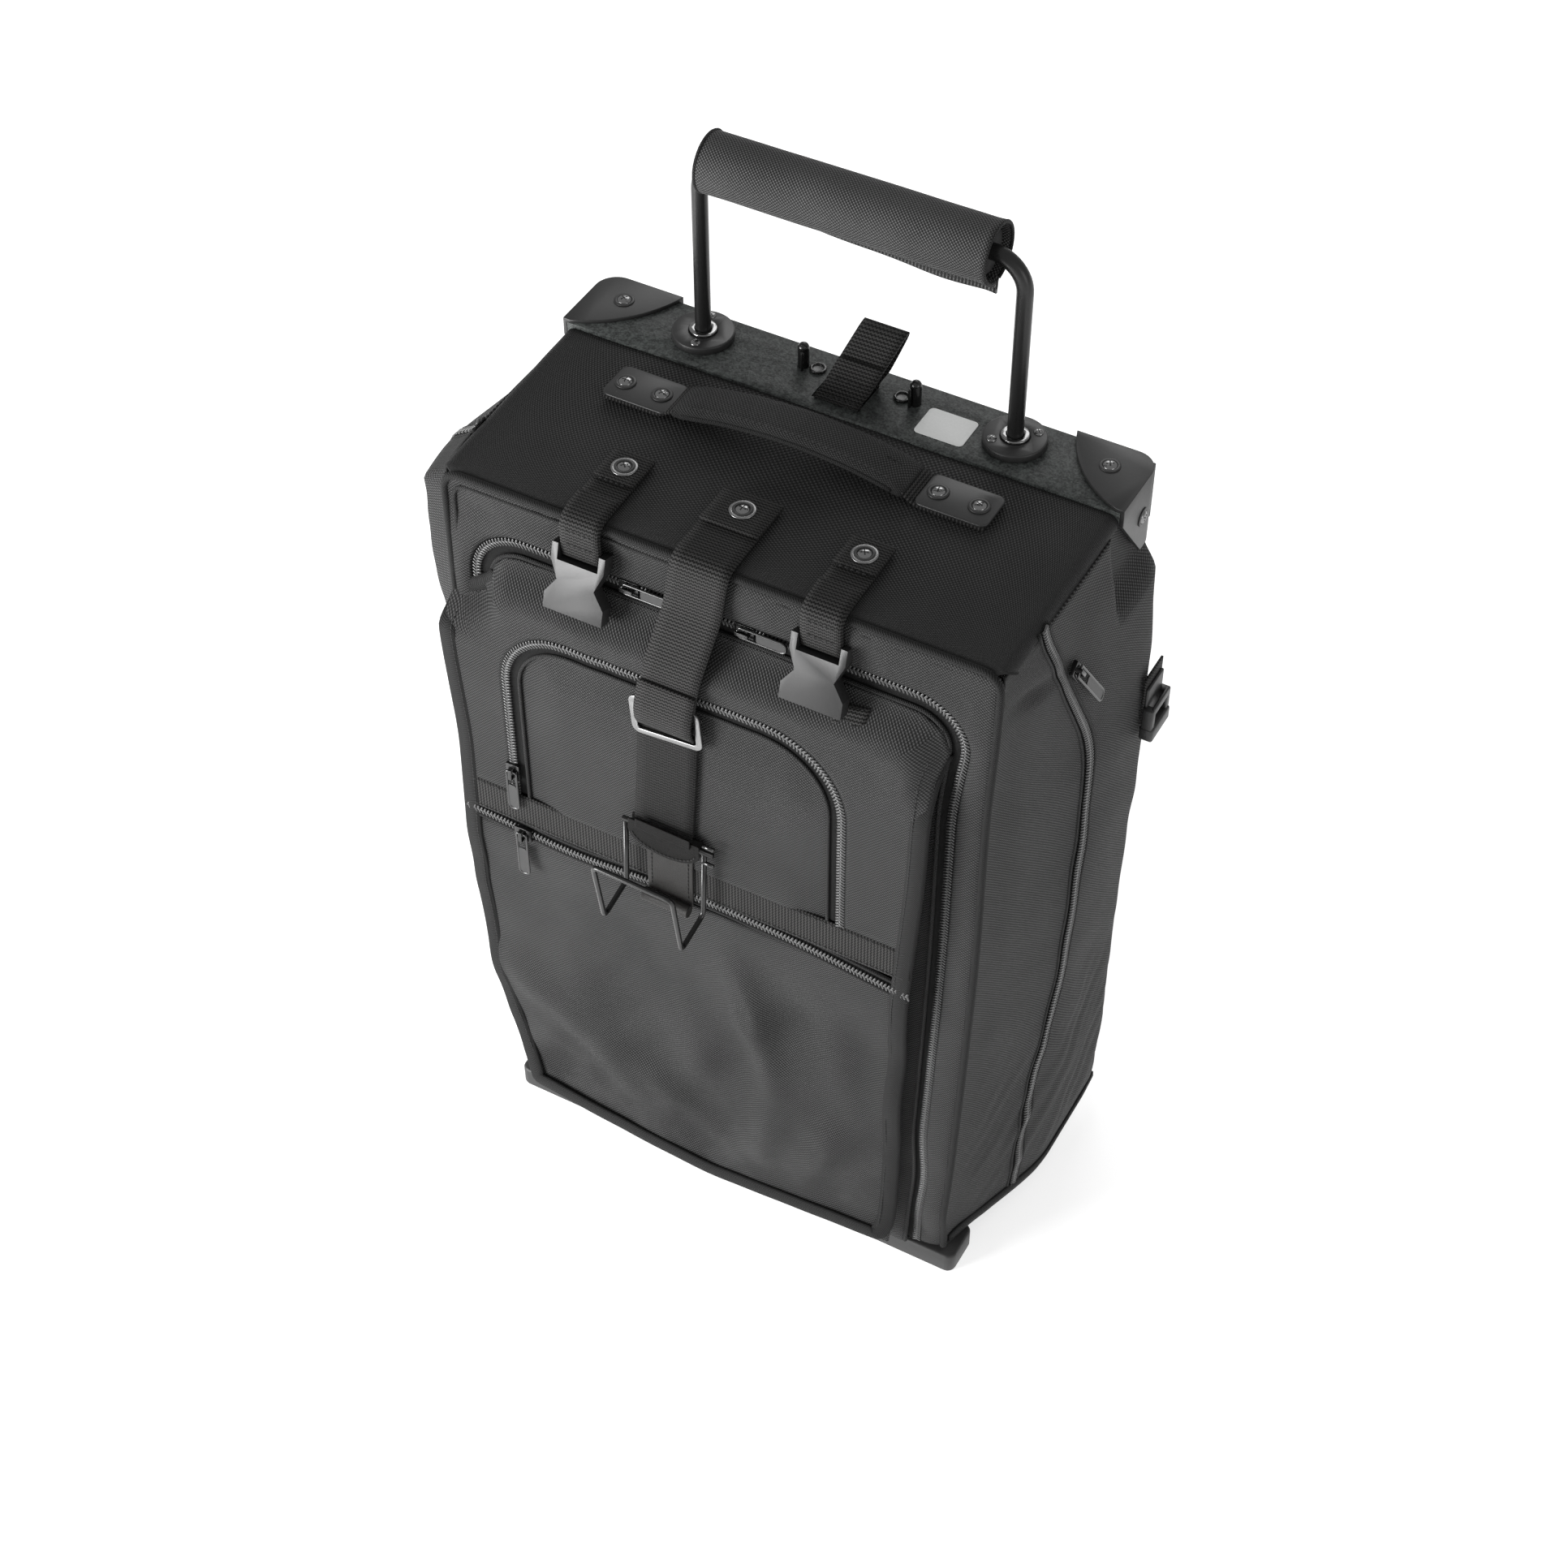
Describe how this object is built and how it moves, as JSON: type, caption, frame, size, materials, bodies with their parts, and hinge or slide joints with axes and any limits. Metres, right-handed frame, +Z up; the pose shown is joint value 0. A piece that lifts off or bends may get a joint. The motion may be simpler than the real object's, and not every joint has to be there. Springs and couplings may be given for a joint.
{
  "type": "flight bag",
  "caption": "Upright black nylon flight bag on wheels, with a telescoping pull handle, carry handle, zipped pockets and a front hook for a second bag.",
  "frame": {"origin": "on the floor below the middle of the bounding box", "axes": "+X to the right as the bag's front is faced, -Y to the front, +Z up"},
  "size_m": [0.4088, 0.2581, 0.698],
  "materials": {
    "textured_plate": "mottled texture, matt",
    "satin_black": "satin",
    "screw_steel": "bright",
    "bright_metal": "polished",
    "nylon_cloth": "coarse woven, slight sheen",
    "webbing": "ribbed webbing",
    "zip": "satin",
    "foam": "matt",
    "leather": "satin",
    "black_plastic": "satin",
    "glide_plastic": "satin",
    "tube_aluminium": "satin",
    "black_tube": "satin anodised",
    "label": "matt",
    "wheel_rubber": "matt",
    "bearing_steel": "ground"
  },
  "bodies": {
    "bag": {"frame_plate": "textured_plate", "corner_caps": "satin_black", "frame_screws": "screw_steel", "tube_flanges": "satin_black", "flange_lips": "bright_metal", "bag_pins": "satin_black", "label_plate": "label", "guide_tubes": "tube_aluminium", "guide_feet": "black_plastic", "top_panel": "nylon_cloth", "back_board": "nylon_cloth", "base_board": "nylon_cloth", "side_walls": "nylon_cloth", "front_frame": "nylon_cloth", "front_flap": "nylon_cloth", "main_zip": "zip", "piping": "nylon_cloth", "side_pockets": "nylon_cloth", "side_zips": "zip", "side_fittings": "black_plastic", "pocket_gusset": "nylon_cloth", "pocket_panels": "nylon_cloth", "pocket_flap": "nylon_cloth", "pocket_zips": "zip", "pocket_trim": "webbing", "carry_plates": "satin_black", "carry_strap": "nylon_cloth", "top_screws": "screw_steel", "straps": "webbing", "centre_strap": "webbing", "tri_glide": "bright_metal", "hook_keeper": "leather", "wheel_housings": "black_plastic", "wheel_axles": "screw_steel", "front_feet": "black_plastic", "main_sliders": "satin_black"},
    "pull_handle": {"pull_tubes": "black_tube", "tube_glides": "glide_plastic", "grip_foam": "foam", "grip_wrap": "nylon_cloth"},
    "release": {"release_loop": "webbing", "release_yoke": "tube_aluminium"},
    "left_wheel": {"wheel_left": "wheel_rubber", "wheel_bearings_left": "bearing_steel"},
    "right_wheel": {"wheel_right": "wheel_rubber", "wheel_bearings_right": "bearing_steel"},
    "hook": {"hook_wire": "satin_black"},
    "left_buckle": {"buckle_left": "black_plastic"},
    "right_buckle": {"buckle_right": "black_plastic"},
    "left_main_pull": {"main_pull_left": "satin_black"},
    "right_main_pull": {"main_pull_right": "satin_black"},
    "lower_slider": {"lower_slider": "satin_black"},
    "lower_pull": {"lower_pull": "satin_black"},
    "panel_slider": {"panel_slider": "satin_black"},
    "panel_pull": {"panel_pull": "satin_black"},
    "left_side_slider": {"side_slider_left": "satin_black"},
    "left_side_pull": {"side_pull_left": "satin_black"},
    "right_side_slider": {"side_slider_right": "satin_black"},
    "right_side_pull": {"side_pull_right": "satin_black"}
  },
  "joints": [
    {"name": "handle_slide", "type": "slide", "parent": "bag", "child": "pull_handle", "axis": [0, 0, 1], "range_m": [-0.05, 0.3]},
    {"name": "release_lift", "type": "slide", "parent": "bag", "child": "release", "axis": [0, 0, 1], "range_m": [0, 0.008], "stiffness_N_per_m": 300, "springref_m": -0.003},
    {"name": "left_wheel_spin", "type": "hinge", "parent": "bag", "child": "left_wheel", "pos_m": [-0.15, 0.087, 0.042], "axis": [1, 0, 0], "continuous": true},
    {"name": "right_wheel_spin", "type": "hinge", "parent": "bag", "child": "right_wheel", "pos_m": [0.15, 0.087, 0.042], "axis": [1, 0, 0], "continuous": true},
    {"name": "hook_swing", "type": "hinge", "parent": "bag", "child": "hook", "pos_m": [-0.022, -0.0904, 0.352], "axis": [-0.9945, 0, 0.1045], "range_deg": [0, 90]},
    {"name": "left_buckle_swing", "type": "hinge", "parent": "bag", "child": "left_buckle", "pos_m": [-0.08, -0.0693, 0.5302], "axis": [-1, 0, 0], "range_deg": [0, 90]},
    {"name": "right_buckle_swing", "type": "hinge", "parent": "bag", "child": "right_buckle", "pos_m": [0.07, -0.0693, 0.5302], "axis": [-1, 0, 0], "range_deg": [0, 90]},
    {"name": "left_main_pull_swing", "type": "hinge", "parent": "bag", "child": "left_main_pull", "pos_m": [-0.052, -0.0683, 0.514], "axis": [0, 0, -1], "range_deg": [0, 110]},
    {"name": "right_main_pull_swing", "type": "hinge", "parent": "bag", "child": "right_main_pull", "pos_m": [0.021, -0.0683, 0.514], "axis": [0, 0, -1], "range_deg": [0, 110]},
    {"name": "lower_slider_run", "type": "slide", "parent": "bag", "child": "lower_slider", "axis": [1, 0, 0], "range_m": [0, 0.06]},
    {"name": "lower_pull_swing", "type": "hinge", "parent": "lower_slider", "child": "lower_pull", "pos_m": [-0.128, -0.0863, 0.292], "axis": [-1, 0, 0], "range_deg": [0, 150]},
    {"name": "panel_slider_run", "type": "slide", "parent": "bag", "child": "panel_slider", "axis": [0, 0, 1], "range_m": [0, 0.06]},
    {"name": "panel_pull_swing", "type": "hinge", "parent": "panel_slider", "child": "panel_pull", "pos_m": [-0.131, -0.0863, 0.345], "axis": [-1, 0, 0], "range_deg": [0, 150]},
    {"name": "right_side_slider_run", "type": "slide", "parent": "bag", "child": "right_side_slider", "axis": [-0.0819, -0.5344, 0.8413], "range_m": [-0.05, 0.02]},
    {"name": "right_side_pull_swing", "type": "hinge", "parent": "right_side_slider", "child": "right_side_pull", "pos_m": [0.18686, 0.01013, 0.49553], "axis": [0.0518, -0.8453, -0.5318], "range_deg": [0, 150]},
    {"name": "left_side_slider_run", "type": "slide", "parent": "bag", "child": "left_side_slider", "axis": [0.0819, -0.5344, 0.8413], "range_m": [-0.05, 0.02]},
    {"name": "left_side_pull_swing", "type": "hinge", "parent": "left_side_slider", "child": "left_side_pull", "pos_m": [-0.18686, 0.01013, 0.49553], "axis": [0.0518, 0.8453, 0.5318], "range_deg": [0, 150]}
  ]
}
